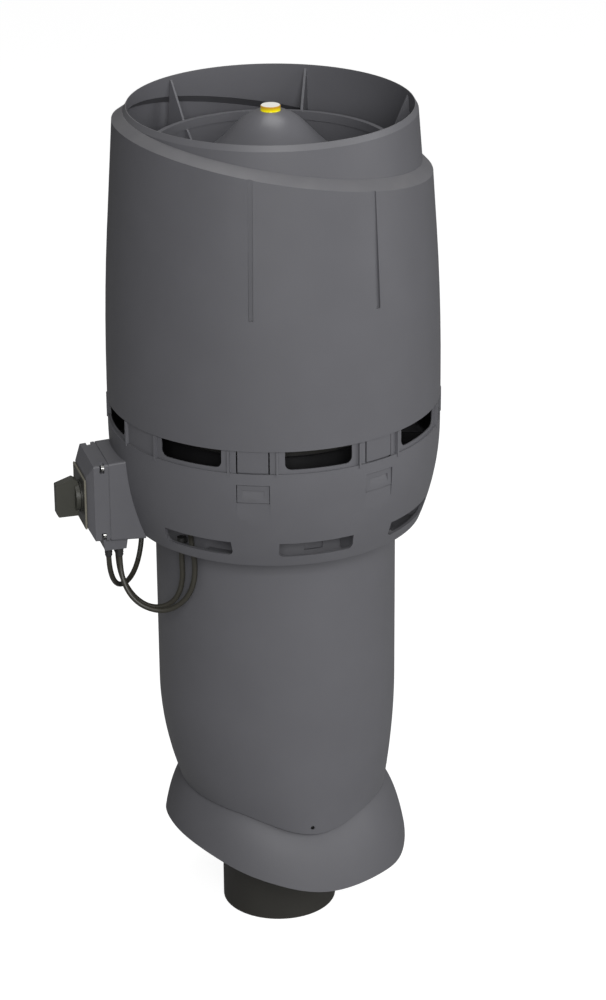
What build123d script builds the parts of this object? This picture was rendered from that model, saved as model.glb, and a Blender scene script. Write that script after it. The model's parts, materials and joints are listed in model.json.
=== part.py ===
# Roof exhaust fan on an insulated roof pipe, with a swing-back hood and a rotary isolator switch
# Millimetres, +Z up. Origin: centre of the duct pipe's lower end. Front of the fan: -Y
from build123d import *
from math import atan, atan2, cos, degrees, pi, radians, sin, sqrt, tan
import os

os.makedirs("parts", exist_ok=True)

# Driving sizes of the pipes
duct_r = 55.0
duct_wall = 3.0
duct_run_r = duct_r - 1.0
bead_t = 2.0
bead_h = 4.0
pipe_r = 112.5
pipe_wall = 4.0
pipe_top_z = 508.0
fit_gap = 0.3

# The pipe's foot narrows to an oval below foot_z, leaning towards +X
foot_z = 245.0
foot_side_k = 790.0
foot_lean_k = 2400.0
foot_front_k = 7000.0
seam_z = 139.3
seam_slope = 0.045
chin_x = 6.0
chin_half = 78.0
chin_drop = 17.0
foot_screw_x = 3.2
foot_screw_z = 129.3
back_screw_z = 151.0
foot_screw_r = 2.0

# Foot collar: a flared skirt. Its rim is an oval in plan, at these heights every 30 degrees from the front
collar_wall = 3.5
collar_gap = 0.6
collar_neck_z = 165.0
rim_side = 115.8
rim_front = 130.0
rim_shift = 6.7
rim_heights = [70, 68, 64, 80, 98, 102, 99, 93, 89, 99, 98, 84]

# Lower casing: a bowl round the pipe's head
bowl_r = 153.6
bowl_wall = 3.5
bowl_low_z = 415.5
bowl_arc_r = 245.0
bowl_arc_z = 505.0
bowl_top_z = 532.4
band_z = 511.2
band_depth = 2.0
floor_z = 468.0
floor_t = 3.0
sleeve_r = 112.8
sleeve_wall = 3.5
sleeve_low_z = 452.0
casing_screw_angles = (45, 135, 225, 315)
casing_screw_z = floor_z + 14.0
ledge_t = 3.2
ledge_r = 96.0
slot_pitch = 45.0
upper_slot_w = 61.6
upper_slot_z = 514.6
upper_slot_corner = 6.0
lower_slot_w = 69.0
lower_slot_low = 426.0
lower_slot_high = 440.5
lower_slot_corner = 5.0
rib_angle = 8.15
rib_w = 1.8
rib_proud = 1.0
rib_low_z = 508.5
web_t = 2.4
web_h = 22.0
low_web_angle = 16.0

# Latches at the front
latch_angle = 22.5
window_w = 30.0
window_low = 482.4
window_high = 500.6
tab_w = 27.4
tab_gap = 1.3
tab_r = bowl_r - 4.0
tab_t = 3.2
tab_front_r = bowl_r - 1.4
tab_low_z = 483.2
catch_r = bowl_r - 1.3
catch_w = 28.8
catch_low_z = 483.2
catch_high_z = 499.8
scoop_w = 20.0
channel_r = bowl_r - 0.7

# Hood
hood_wall = 3.2
hood_gap = 0.3
hood_r = bowl_r + 0.1
hood_arc_z = 548.0
hood_arc_r = 2100.0
hood_taper = 3.9
shoulder_z = 768.7
shoulder_slope = 0.183
shoulder_rise = 8.1
ring_h = 31.6
ring_lip_h = 5.0
ring_edge_z = shoulder_z + ring_h
ring_top_z = ring_edge_z + ring_lip_h
ring_edge_r = hood_r - 21.8
ring_lip_r = ring_edge_r - 2.8
ring_taper = 4.5
groove_w = 4.3
groove_low_z = 653.5
groove_depth = 2.2

# Hinge at the back
hinge_x = 59.0
hinge_y = bowl_r + 4.4
hinge_z = 497.0
hinge_pin_r = 3.0
hinge_arm_w = 14.0
hinge_ear_w = 5.0
hinge_boss_r = 7.0
running_gap = 0.05

# Outlet ring, vanes and inner casing
outlet_r = 112.5
outlet_wall = 3.2
outlet_top_z = 766.6
outlet_lip_h = 8.0
outlet_lip_t = 1.4
outlet_low_z = 690.0
vane_t = 2.2
vane_bend_r = 101.4
vane_bend_z = 748.5
vane_foot_z = 700.0
vane_count = 6
hub_r = 66.0
hub_wall = 3.0
hub_low_z = 690.0
hub_top_z = 715.0
casing_low_z = 540.0

# Motor cone and level vial
cone_wall = 2.5
cone_top_r = 11.0
cone_top_z = 799.0
cone_foot_z = 752.0
vial_r = 9.0
vial_h = 4.6
vial_sink = 3.0

# Fan wheel and inlet nozzle
wheel_r = 95.0
wheel_low_z = 548.0
wheel_high_z = 603.0
wheel_plate_t = 3.0
eye_r = 59.5
blade_count = 7
blade_t = 2.2
wheel_bolt_r = 30.0
nozzle_r = 56.0
nozzle_t = 2.0
nozzle_gap = 1.5
eye_lip = 5.0
plate_t = 3.0

# External rotor motor
shaft_r = 6.0
rotor_r = 50.0
rotor_wall = 4.0
rotor_high_z = 681.0
magnet_t = 4.5
core_r = 40.0
core_low_z = 628.0
core_high_z = 664.0
tube_r = 18.0
bearing_r = 13.0
bearing_h = 8.0
winding_h = 8.0

# Isolator switch on the -X side
box_y = -5.0
box_w = 60.0
box_z = 453.0
box_h = 74.0
box_draft = 0.06
box_round = 1.8
cover_out_x = bowl_r + 31.7
cover_in_x = bowl_r + 11.4
box_root_x = bowl_r - 35.6
bevel_out = 6.0
bevel_z = 11.5
bevel_y = 7.6
box_wall = 2.6
gasket_t = 1.2
plate_side = 48.0
switch_plate_t = 1.6
knob_z = 451.0
knob_base_r = 13.0
knob_base_t = 4.0
grip_w = 36.0
grip_t = 9.0
grip_out = 18.0
spindle_r = 3.0

# Gland block and the three cables
gland_w = 24.0
gland_x = 160.0
gland_y = -19.0
gland_low_z = 403.8
cable_top_z = 401.8
cable_r = 2.5


def ring(r_out, r_in, z0, z1):
    """A plain tube about the fan's axis."""
    return Pos(0, 0, z0) * extrude(Circle(r_out) - Circle(r_in), z1 - z0)


def disc(r, z0, z1):
    """A plain disc about the fan's axis."""
    return Pos(0, 0, z0) * extrude(Circle(r), z1 - z0)


def block(x0, x1, y0, y1, z0, z1):
    """A rectangular block between two corners."""
    return Pos((x0 + x1) / 2, (y0 + y1) / 2, (z0 + z1) / 2) * Box(x1 - x0, y1 - y0, z1 - z0)


def turned(azimuth, shape):
    """Turn a shape that was built at the front to an azimuth, + towards +X."""
    return Rot(0, 0, azimuth) * shape


def around(shape, count, start=0.0):
    """Copies of a front shape, evenly spaced about the axis."""
    return [turned(start + i * 360 / count, shape) for i in range(count)]


def fused(shapes):
    """Fuse a list of shapes into one."""
    return shapes[0] + list(shapes[1:]) if len(shapes) > 1 else shapes[0]


def pin_along(direction, centre, r, length):
    """A round pin that starts at a point and runs along a direction."""
    plane = Plane(origin=centre, z_dir=direction)
    return extrude(plane * Circle(r), length)


def revolved(points):
    """Turn a closed outline of (radius, z) points about the axis."""
    outline = Polyline([(r, 0, z) for r, z in points], close=True)
    return revolve(make_face(outline), Axis.Z)


def write(name, shape):
    """Write one sub-part."""
    export_step(Compound(children=list(shape.solids())), f"parts/{name}.step")


# Foot of the outer pipe

def foot_axes(z):
    """Half width, half depth and lean of the pipe's oval at a height."""
    below = max(foot_z - z, 0.0) ** 2
    return pipe_r - below / foot_side_k, pipe_r - below / foot_front_k, below / foot_lean_k


def foot_loft(inset, z_low):
    """The tapering foot, set in from the outside by a distance."""
    steps = 5
    faces = []
    for i in range(steps):
        z = foot_z - (foot_z - z_low) * i / (steps - 1)
        a, b, lean = foot_axes(z)
        faces.append(Plane(origin=(lean, 0, z)) * Ellipse(a - inset, b - inset))
    return loft(faces)


def pipe_body(inset, z_low, z_high):
    """Foot and straight pipe as one solid."""
    return foot_loft(inset, z_low) + disc(pipe_r - inset, foot_z, z_high)


def chin(x):
    """How far the seam dips at x on the pipe's front."""
    share = min(abs(x - chin_x) / chin_half, 1.0)
    return chin_drop * (1 + cos(pi * share)) / 2


def seam_height(x, front):
    """Height of the pipe's lower edge."""
    return seam_z - seam_slope * x - (chin(x) if front else 0.0)


def seam_cut(front):
    """Everything below the pipe's lower edge, on its front or its back half."""
    reach = 1.4 * pipe_r
    edge = [(x, seam_height(x, front)) for x in seam_stations(reach, front)]
    low = seam_z - reach
    side = -reach if front else reach
    top = Spline([(x, 0, z) for x, z in edge])
    rest = Polyline(top @ 1, (reach, 0, low), (-reach, 0, low), top @ 0)
    return extrude(make_face(Wire([top] + rest.edges())), amount=side, dir=(0, 1, 0))


def seam_stations(reach, front):
    """Places along X that the edge's curve passes through."""
    if not front:
        return [-reach, 0.0, reach]
    count = 12
    inner = [chin_x - chin_half + 2 * chin_half * i / count for i in range(count + 1)]
    return [-reach] + inner + [reach]


# Body of the outer pipe

def make_outer_pipe():
    z_low = seam_z - chin_drop - 25.0
    wall = pipe_body(0, z_low, pipe_top_z) - pipe_body(pipe_wall, z_low - 5.0, pipe_top_z + 5.0)
    wall = wall - seam_cut(True) - seam_cut(False)
    hole = pin_along((0, -1, 0), (foot_screw_x, -duct_r, foot_screw_z), foot_screw_r, pipe_r)
    back_hole = pin_along((0, 1, 0), (foot_screw_x, duct_r, back_screw_z), foot_screw_r, pipe_r)
    return wall - hole - back_hole - cable_entry_hole() - clip_window() - casing_screw_holes(1.6)


def clip_window():
    """Window in the pipe for the casing's clip."""
    clip_w = 18.0
    clip_h = 10.0
    clip_z = 418.5
    window = block(-clip_w / 2, clip_w / 2, -pipe_r - 5, -pipe_r + pipe_wall / 2, clip_z, clip_z + clip_h)
    return turned(2.5, window)


# Foot collar, made of skins between closed curves

def closed_curve(points):
    """A smooth closed wire through points."""
    return Wire([Edge.make_spline([Vector(*p) for p in points], periodic=True)])


def rim_height(angle):
    """Height of the collar's rim, curving smoothly through its stations."""
    count = len(rim_heights)
    place = (angle / (2 * pi) * count) % count
    first = int(place)
    f = place - first
    a, b, c, d = [rim_heights[(first + i) % count] for i in (-1, 0, 1, 2)]
    return b + f / 2 * (c - a + f * (2 * a - 5 * b + 4 * c - d + f * (3 * (b - c) + d - a)))


def collar_station(angle, share, inset):
    """A point of the collar's flare: share runs from 0 at the pipe's edge to 1 at the rim."""
    front = cos(angle) > 0
    z = seam_z
    for _ in range(3):
        a, b, lean = foot_axes(z)
        x0 = lean + (a - pipe_wall - collar_gap) * sin(angle)
        z = seam_height(x0, front) - collar_gap
    y0 = -(b - pipe_wall - collar_gap) * cos(angle)
    x1 = rim_shift + rim_side * sin(angle)
    y1 = -rim_front * cos(angle)
    z1 = rim_height(angle)
    length0 = sqrt(x0 * x0 + y0 * y0)
    length1 = sqrt(x1 * x1 + y1 * y1)
    z0 = z - inset
    x0, y0 = x0 * (1 - inset / length0), y0 * (1 - inset / length0)
    x1, y1 = x1 * (1 - inset / length1), y1 * (1 - inset / length1)
    out = (share + sin(share * pi / 2)) / 2
    down = (share + 1 - cos(share * pi / 2)) / 2
    return (x0 + (x1 - x0) * out, y0 + (y1 - y0) * out, z0 + (z1 - z0) * down)


def collar_ring(share, inset):
    """A closed curve round the collar's flare."""
    count = 32
    return closed_curve([collar_station(2 * pi * i / count, share, inset) for i in range(count)])


def neck_ring(inset):
    """The top edge of the collar's neck, inside the pipe."""
    count = 32
    a, b, lean = foot_axes(collar_neck_z)
    a, b = a - pipe_wall - collar_gap - inset, b - pipe_wall - collar_gap - inset
    turns = [2 * pi * i / count for i in range(count)]
    return closed_curve([(lean + a * sin(t), -b * cos(t), collar_neck_z) for t in turns])


def make_foot_collar():
    shares = [0.0, 0.3, 0.6, 1.0]
    outer = [collar_ring(s, 0.0) for s in shares]
    inner = [collar_ring(s, collar_wall) for s in shares]
    top_out = neck_ring(0.0)
    top_in = neck_ring(collar_wall)
    skins = [
        Shell.make_loft(outer),
        Shell.make_loft(inner),
        Shell.make_loft([top_out, outer[0]], ruled=True),
        Shell.make_loft([top_in, inner[0]], ruled=True),
        Shell.make_loft([outer[-1], inner[-1]], ruled=True),
        Shell.make_loft([top_out, top_in], ruled=True),
    ]
    body = Solid(Shell([face for skin in skins for face in skin.faces()]))
    hole = pin_along((0, -1, 0), (foot_screw_x, -duct_r, foot_screw_z), foot_screw_r, pipe_r)
    back_hole = pin_along((0, 1, 0), (foot_screw_x, duct_r, back_screw_z), foot_screw_r, pipe_r)
    return body - hole - back_hole


def foot_screw(direction, z):
    """A screw through the pipe's edge and the collar's neck, its head below the surface."""
    b = foot_axes(z)[1]
    start = b - pipe_wall - collar_wall - fit_gap - 3.0
    spot = (foot_screw_x, direction * start, z)
    return pin_along((0, direction, 0), spot, foot_screw_r - 0.3, b - start - 0.6)


# Pieces inside the pipe

def make_inner_pipe():
    """The duct pipe: a spigot up to the bead that stops the duct's socket, and a slimmer run above it."""
    bore_r = duct_r - duct_wall
    spigot = ring(duct_r, bore_r, 0, collar_neck_z)
    bead = ring(duct_r + bead_t, bore_r, collar_neck_z - bead_h / 2, collar_neck_z + bead_h / 2)
    return spigot + bead + ring(duct_run_r, bore_r, collar_neck_z, pipe_top_z)


def make_insulation():
    low = collar_neck_z + 3.0
    body = pipe_body(pipe_wall + fit_gap, low, pipe_top_z - plate_t)
    return body - disc(duct_run_r + fit_gap, low - 5, pipe_top_z + 5)


def make_top_ring():
    """Closes the gap between the two pipes above the insulation."""
    return ring(pipe_r - pipe_wall - fit_gap, duct_run_r + fit_gap, pipe_top_z - plate_t + 0.2, pipe_top_z)


# Lower casing

def bowl_radius(z):
    """Outside radius of the bowl where it curves in towards its rim."""
    drop = bowl_arc_z - max(z, bowl_low_z)
    return bowl_r - (bowl_arc_r - sqrt(bowl_arc_r ** 2 - drop ** 2))


def bowl_profile(inset, z_low, z_high):
    """The bowl's outside, set in by a distance, as a solid of revolution."""
    start = bowl_radius(bowl_low_z) - inset
    z_mid = (bowl_arc_z + bowl_low_z) / 2
    end = (bowl_r - inset, 0, bowl_arc_z)
    side = ThreePointArc((start, 0, bowl_low_z), (bowl_radius(z_mid) - inset, 0, z_mid), end)
    deep = bowl_low_z - 30.0
    rest = Polyline(end, (bowl_r - inset, 0, z_high), (0, 0, z_high), (0, 0, deep), (start, 0, deep),
                    (start, 0, bowl_low_z))
    body = revolve(make_face(Wire([side] + rest.edges())), Axis.Z)
    return body - disc(bowl_r + 20, deep - 5, z_low)


def front_slot(width, z0, z1, r0, corner):
    """A cutter through the bowl's front, with rounded lower corners."""
    body = block(-width / 2, width / 2, -(bowl_r + 5), -r0, z0, z1)
    low_edges = body.edges().filter_by(Axis.Y).group_by(Axis.Z)[0]
    return fillet(low_edges, corner)


def make_lower_casing():
    shell = bowl_profile(0, bowl_low_z, bowl_top_z)
    shell -= bowl_profile(bowl_wall, bowl_low_z - 5, bowl_top_z + 5)
    shell = shell - ring(bowl_r + 5, bowl_r - band_depth, band_z, bowl_top_z + 5)
    ledge_z = pipe_top_z + fit_gap
    shell += ring(sleeve_r + sleeve_wall, sleeve_r, sleeve_low_z, ledge_z)
    shell += ring(sleeve_r + sleeve_wall, ledge_r, ledge_z, ledge_z + ledge_t)
    web = disc(bowl_r, floor_z, floor_z + floor_t) & bowl_profile(bowl_wall / 2, floor_z - 5, bowl_top_z)
    shell += web - disc(sleeve_r + sleeve_wall / 2, floor_z - 5, floor_z + 10)
    shell += casing_ribs()
    upper = front_slot(upper_slot_w, upper_slot_z, bowl_top_z + 20, bowl_r - 15, upper_slot_corner)
    lower = front_slot(lower_slot_w, lower_slot_low, lower_slot_high, pipe_r + 12, lower_slot_corner)
    count = round(360 / slot_pitch)
    shell = shell - around(upper, count) - around(lower, count)
    shell = shell - latch_openings() - floor_cable_holes() - casing_screw_holes(1.8)
    shell = shell - around(nozzle_bolt(1.7), 4, 45) + hinge_ears()
    return shell - [hinge_pin(side, 0.0) for side in (-1, 1)]


def casing_ribs():
    """Webs above and below the floor, and the narrow bars between the upper slots."""
    count = round(360 / slot_pitch)
    half = slot_pitch / 2
    inner_y = -(bowl_r - bowl_wall)
    root_y = -(sleeve_r + sleeve_wall - 0.5)
    web = block(-web_t / 2, web_t / 2, inner_y - 0.5, root_y, floor_z + 1, floor_z + web_h)
    low_web = block(-web_t / 2, web_t / 2, inner_y - 0.5, root_y, bowl_low_z + 1.5, floor_z + 1)
    low_web = low_web & bowl_profile(bowl_wall / 2, bowl_low_z, floor_z + 5)
    bar = block(-rib_w / 2, rib_w / 2, -(bowl_r + rib_proud), inner_y - 0.2, rib_low_z, bowl_top_z)
    bars = around(bar, count, half + rib_angle) + around(bar, count, half - rib_angle)
    return around(web, count, 1.2 * half) + around(low_web, count, low_web_angle) + bars


def latch_openings():
    """Window, tab opening, catch channel and finger ramp at the two front latches."""
    inside = -(bowl_r - bowl_wall - 5)
    outside = -(bowl_r + 5)
    gap_w = tab_w / 2 + tab_gap
    window = block(-window_w / 2, window_w / 2, outside, inside, window_low, window_high)
    opening = block(-gap_w, gap_w, outside, inside, band_z, bowl_top_z + 5)
    channel = block(-gap_w, gap_w, outside, inside, window_high - 2, band_z + 1)
    channel &= disc(channel_r, window_low, bowl_top_z)
    front = [window, opening, channel, finger_ramp()]
    return [turned(a, s) for a in (-latch_angle, latch_angle) for s in front]


def finger_ramp():
    """A shallow ramp that leads a finger up into the window."""
    low = window_low - 18.0
    depth = 1.6
    far = -(bowl_r + 6)
    outline = Polyline([(0, -(bowl_radius(window_low) - depth), window_low + 1), (0, far, window_low + 1),
                        (0, far, low), (0, -bowl_radius(low), low)], close=True)
    return Pos(-window_w / 2, 0, 0) * extrude(make_face(outline), amount=window_w, dir=(1, 0, 0))


def hinge_ears():
    """Two ears at each hinge, standing out of the bowl's back."""
    ears = []
    offset = hinge_arm_w / 2 + fit_gap + hinge_ear_w / 2
    for x in [side * hinge_x + way * offset for side in (-1, 1) for way in (-1, 1)]:
        root_y = sqrt(bowl_r ** 2 - x ** 2) - 2.0
        low_z = hinge_z - hinge_boss_r - 8
        x0 = x - hinge_ear_w / 2
        plate = block(x0, x0 + hinge_ear_w, root_y, hinge_y, low_z, hinge_z + hinge_boss_r)
        boss = pin_along((1, 0, 0), (x0, hinge_y, hinge_z), hinge_boss_r, hinge_ear_w)
        ears.append(plate + boss)
    return ears


def hinge_pin(side, slack):
    """A hinge pin, through both ears of one hinge."""
    half = hinge_arm_w / 2 + fit_gap + hinge_ear_w
    return pin_along((1, 0, 0), (side * hinge_x - half, hinge_y, hinge_z), hinge_pin_r + slack, 2 * half)


def casing_screw():
    """A radial screw through the casing's sleeve into the pipe, at the front."""
    face_r = sleeve_r + sleeve_wall
    bore_r = pipe_r - pipe_wall
    shank = pin_along((0, -1, 0), (0, -bore_r, casing_screw_z), 1.6, face_r + 1 - bore_r)
    head = pin_along((0, -1, 0), (0, -face_r - 0.1, casing_screw_z), 3.5, 2.2)
    return shank + head


def casing_screw_holes(r):
    hole = pin_along((0, -1, 0), (0, -(pipe_r - 10), casing_screw_z), r, 20)
    return [turned(a, hole) for a in casing_screw_angles]


# Hood

def hood_radius(z):
    """Outside radius of the hood's wall."""
    k = tan(radians(hood_taper))
    z_end = hood_arc_z + hood_arc_r * sin(radians(hood_taper))
    if z <= hood_arc_z:
        return hood_r
    if z <= z_end:
        return hood_r - hood_arc_r + sqrt(hood_arc_r ** 2 - (z - hood_arc_z) ** 2)
    return hood_r - hood_arc_r * (1 - cos(radians(hood_taper))) - k * (z - z_end)


def ring_radius(z):
    """Outside radius of the slim ring above the shoulder."""
    return ring_edge_r + (ring_edge_z - z) * tan(radians(ring_taper))


def slanted_plane(z, x):
    """A plane that falls towards +X, at height z on the axis, with its origin at x."""
    tilt = atan(shoulder_slope)
    centre = (x, 0, z - shoulder_slope * x)
    return Plane(origin=centre, x_dir=(cos(tilt), 0, -sin(tilt)), z_dir=(sin(tilt), 0, cos(tilt)))


def slanted_oval(radius, taper, z):
    """The oval in which a slanted plane cuts a tapering wall."""
    k = tan(radians(taper))
    spread = 1 - (k * shoulder_slope) ** 2
    half = radius / spread
    shift = half * k * shoulder_slope
    stretch = sqrt(1 + shoulder_slope ** 2)
    return slanted_plane(z, shift) * Ellipse(half * stretch, radius / sqrt(spread))


def flared_body(inset, z_low):
    """The hood's flared wall as a solid, up to the slanted shoulder."""
    z_end = hood_arc_z + hood_arc_r * sin(radians(hood_taper))
    z_mid = (hood_arc_z + z_end) / 2
    z_high = ring_top_z + shoulder_slope * hood_r
    points = [(hood_radius(z) - inset, 0, z) for z in (hood_arc_z, z_mid, z_end)]
    low = Polyline((0, 0, z_high), (0, 0, z_low), (hood_r - inset, 0, z_low), points[0])
    curve = ThreePointArc(*points)
    high = Polyline(points[2], (hood_radius(z_high) - inset, 0, z_high), (0, 0, z_high))
    body = revolve(make_face(Wire(low.edges() + [curve] + high.edges())), Axis.Z)
    return split(body, slanted_plane(shoulder_z - inset, 0), keep=Keep.BOTTOM)


def shoulder_body(inset):
    """The slanted chamfer between the flared wall and the slim ring."""
    z0 = shoulder_z - inset
    z1 = shoulder_z + shoulder_rise - inset
    low = slanted_oval(hood_radius(shoulder_z) - inset, hood_taper, z0)
    high = slanted_oval(ring_radius(z1) + 0.4 - inset, ring_taper, z1)
    return loft([low, high])


def ring_body(inset, z_top):
    """The slim ring as a solid cone."""
    z_low = shoulder_z - hood_r * shoulder_slope - 5.0
    r_low = ring_radius(z_low) - inset
    r_top = ring_radius(z_top) - inset
    body = revolved([(0, z_low), (r_low, z_low), (r_top, z_top), (0, z_top)])
    return split(body, slanted_plane(shoulder_z - inset + 1.0, 0), keep=Keep.TOP)


def hood_solid(inset, z_low, z_top):
    return flared_body(inset, z_low) + shoulder_body(inset) + ring_body(inset, z_top)


def make_hood():
    z_low = bowl_top_z + hood_gap
    outer = hood_solid(0.0, z_low, ring_edge_z)
    lip = revolved([(0, ring_edge_z - 1), (ring_edge_r, ring_edge_z - 1), (ring_edge_r, ring_edge_z),
                    (ring_lip_r, ring_top_z), (0, ring_top_z)])
    inner = hood_solid(hood_wall, z_low - 10, ring_top_z + 10)
    hood = outer + lip - inner
    top_bore = revolved([(0, ring_edge_z - 6), (ring_edge_r - hood_wall, ring_edge_z - 6),
                         (ring_lip_r - 0.6, ring_top_z + 1), (0, ring_top_z + 1)])
    hood = hood - top_bore
    hood = hood - [turned(a, groove()) for a in (-latch_angle, latch_angle)]
    hood += [turned(a, latch_tab()) for a in (-latch_angle, latch_angle)]
    hood += hinge_arms()
    return hood - [hinge_pin(side, running_gap) for side in (-1, 1)]


def groove():
    """A moulded groove that deepens down the hood and ends square."""
    z_top = shoulder_z + 40.0
    r_low = hood_radius(groove_low_z) - groove_depth
    r_top = hood_radius(shoulder_z) - 0.7
    slope = (r_top - r_low) / (shoulder_z - groove_low_z)
    far = hood_r + 10
    outline = Polyline([(0, -r_low, groove_low_z), (0, -far, groove_low_z), (0, -far, z_top),
                        (0, -(r_low + slope * (z_top - groove_low_z)), z_top)], close=True)
    return Pos(-groove_w / 2, 0, 0) * extrude(make_face(outline), amount=groove_w, dir=(1, 0, 0))


def latch_tab():
    """The hood's latch tab, which runs down inside the casing to a catch in its window."""
    z_low = bowl_top_z + hood_gap
    back_r = tab_r - tab_t
    plate = ring(tab_r, back_r, tab_low_z, z_low + 15)
    face = ring(tab_front_r, back_r, band_z + 0.8, z_low + 0.5)
    root = ring(hood_r - hood_wall + 1, back_r, z_low, z_low + 15)
    wide = block(-tab_w / 2, tab_w / 2, -(bowl_r + 5), -100, tab_low_z, z_low + 15)
    catch = ring(catch_r, back_r, catch_low_z, catch_high_z)
    catch = catch & block(-catch_w / 2, catch_w / 2, -(bowl_r + 5), -100, catch_low_z, catch_high_z)
    return ((plate + face + root) & wide) + catch - finger_scoop()


def finger_scoop():
    """A scoop in the catch, deepest at its upper edge."""
    low = catch_low_z + 3.4
    high = catch_high_z - 4.6
    outline = Polyline([(0, -catch_r + 0.1, low), (0, -catch_r - 3, low), (0, -catch_r - 3, high),
                        (0, -catch_r + 1.8, high)], close=True)
    return Pos(-scoop_w / 2, 0, 0) * extrude(make_face(outline), amount=scoop_w, dir=(1, 0, 0))


def hinge_arms():
    """Two arms from the hood's back wall down to the hinge pins."""
    arms = []
    z_low = bowl_top_z + hood_gap
    foot_top_z = z_low + 22.0
    inner_y = hinge_y - hinge_boss_r
    outer_y = hinge_y + hinge_boss_r
    for side in (-1, 1):
        x0 = side * hinge_x - hinge_arm_w / 2
        x1 = side * hinge_x + hinge_arm_w / 2
        leg = block(x0, x1, inner_y, outer_y, hinge_z, foot_top_z)
        foot = block(x0, x1, 0, outer_y, z_low + 4, foot_top_z)
        foot -= disc(hood_r - hood_wall + 1, z_low, foot_top_z + 1)
        boss = pin_along((1, 0, 0), (x0, hinge_y, hinge_z), hinge_boss_r, hinge_arm_w)
        arms.append(leg + foot + boss)
    return arms


# Outlet ring with its vanes

def vane():
    """One flat vane from the hub to the hood's slim ring, at the front."""
    r_rim = ring_radius(ring_edge_z) - hood_wall - fit_gap
    z_wall = shoulder_z - shoulder_slope * hood_r + 10.0
    r_wall = r_rim + (ring_edge_z - z_wall) * tan(radians(ring_taper))
    points = [
        (hub_r + 0.5, hub_low_z), (r_wall, hub_low_z), (r_wall, z_wall), (r_rim, ring_edge_z),
        (r_rim - 0.8, ring_edge_z + 1.6), (outlet_r - 0.3, outlet_top_z), (vane_bend_r, vane_bend_z),
        (hub_r + 0.5, vane_foot_z),
    ]
    outline = Polyline([(0, -r, z) for r, z in points], close=True)
    return Pos(-vane_t / 2, 0, 0) * extrude(make_face(outline), amount=vane_t, dir=(1, 0, 0))


def make_outlet_ring():
    inner_r = outlet_r - outlet_wall
    body = ring(outlet_r, inner_r, outlet_low_z, outlet_top_z)
    body += ring(inner_r + 1, inner_r - outlet_lip_t, outlet_top_z - outlet_lip_h, outlet_top_z)
    body += ring(hub_r + hub_wall, hub_r, hub_low_z, hub_top_z)
    body += ring(hub_r + 1, hub_r - 8, hub_low_z, hub_low_z + 3)
    body = body + around(vane(), vane_count, 180 / vane_count)
    bolt = pin_along((0, 0, 1), (0, -(hub_r - 4), hub_low_z - 5), 1.7, 20)
    return body - around(bolt, 4, 45) - disc(hub_r - 8, hub_low_z - 1, hub_top_z + 1)


def make_inner_casing():
    """The fan wheel's casing, a barrel that carries the air up to the outlet ring."""
    low_r = outlet_r + 6.0
    flare_z = casing_low_z + 10.0
    return revolved([
        (outlet_r, outlet_low_z), (outlet_r - outlet_wall, outlet_low_z), (outlet_r - outlet_wall, flare_z),
        (low_r - outlet_wall, casing_low_z), (low_r, casing_low_z), (outlet_r, flare_z + 1.0),
    ])


# Motor cone and level vial

def cone_solid(inset):
    """The bell-shaped cone filled, set in by a distance."""
    rise = cone_top_z - cone_foot_z
    shares = [(17, 0.949), (24, 0.862), (31, 0.734), (38, 0.574), (48, 0.362), (58, 0.191), (64, 0.117)]
    points = [(cone_top_r, cone_top_z - inset)]
    points += [(r - 0.7 * inset, cone_foot_z + s * rise - 0.7 * inset) for r, s in shares]
    skirt_r = hub_r + hub_wall - inset
    foot = (skirt_r, 0, cone_foot_z - 0.4 * inset)
    bell = Spline([(r, 0, z) for r, z in points] + [foot])
    low_z = hub_top_z + 0.1 - inset
    rest = Polyline(foot, (skirt_r, 0, low_z), (0, 0, low_z), (0, 0, cone_top_z - inset), bell @ 0)
    return revolve(make_face(Wire([bell] + rest.edges())), Axis.Z)


def make_motor_cone():
    floor_z1 = cone_top_z - vial_sink
    floor_disc = disc(18.0, floor_z1 - 2.5, floor_z1) & cone_solid(0.2)
    spigot = ring(hub_r - 0.2, hub_r - cone_wall, hub_top_z - 8, hub_top_z + 6)
    step = ring(hub_r + 1.5, hub_r - 1.5, hub_top_z + 0.1, hub_top_z + 3)
    body = cone_solid(0) - cone_solid(cone_wall) + floor_disc + spigot + step
    return body - disc(vial_r + 0.2, floor_z1, cone_top_z + 5)


def make_vial_body():
    """Round level vial: a clear cup."""
    z0 = cone_top_z - vial_sink + 0.1
    z1 = cone_top_z + vial_h
    body = disc(vial_r, z0, z1)
    body = chamfer(body.edges().group_by(Axis.Z)[-1], 0.6)
    return body - disc(vial_r - 1.4, z0 + 1.2, z1 - 1.6)


def make_vial_fluid():
    z0 = cone_top_z - vial_sink + 1.3
    z1 = cone_top_z + vial_h - 1.7
    return disc(vial_r - 1.5, z0, z1)


# Motor

def make_motor_plate():
    """Round plate screwed under the hub, which carries the motor."""
    z0 = hub_low_z - 3.2
    plate = disc(hub_r - 0.5, z0, hub_low_z - 0.2)
    plate += disc(bearing_r + 12, z0 - 3, z0)
    plate = plate - disc(tube_r - 3, z0 - 5, hub_low_z + 1)
    bolt = pin_along((0, 0, 1), (0, -(hub_r - 4), z0 - 5), 1.7, 20)
    vent = Pos(0, -(hub_r + tube_r) / 2 - 6, z0 - 5) * extrude(Circle(5), 20)
    return plate - around(bolt, 4, 45) - around(vent, 6)


def motor_screws():
    z0 = hub_low_z - 3.2
    head = pin_along((0, 0, -1), (0, -(hub_r - 4), z0), 3.0, 2.4)
    shank = pin_along((0, 0, 1), (0, -(hub_r - 4), z0), 1.6, 8.0)
    return around(head + shank, 4, 45)


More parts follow.
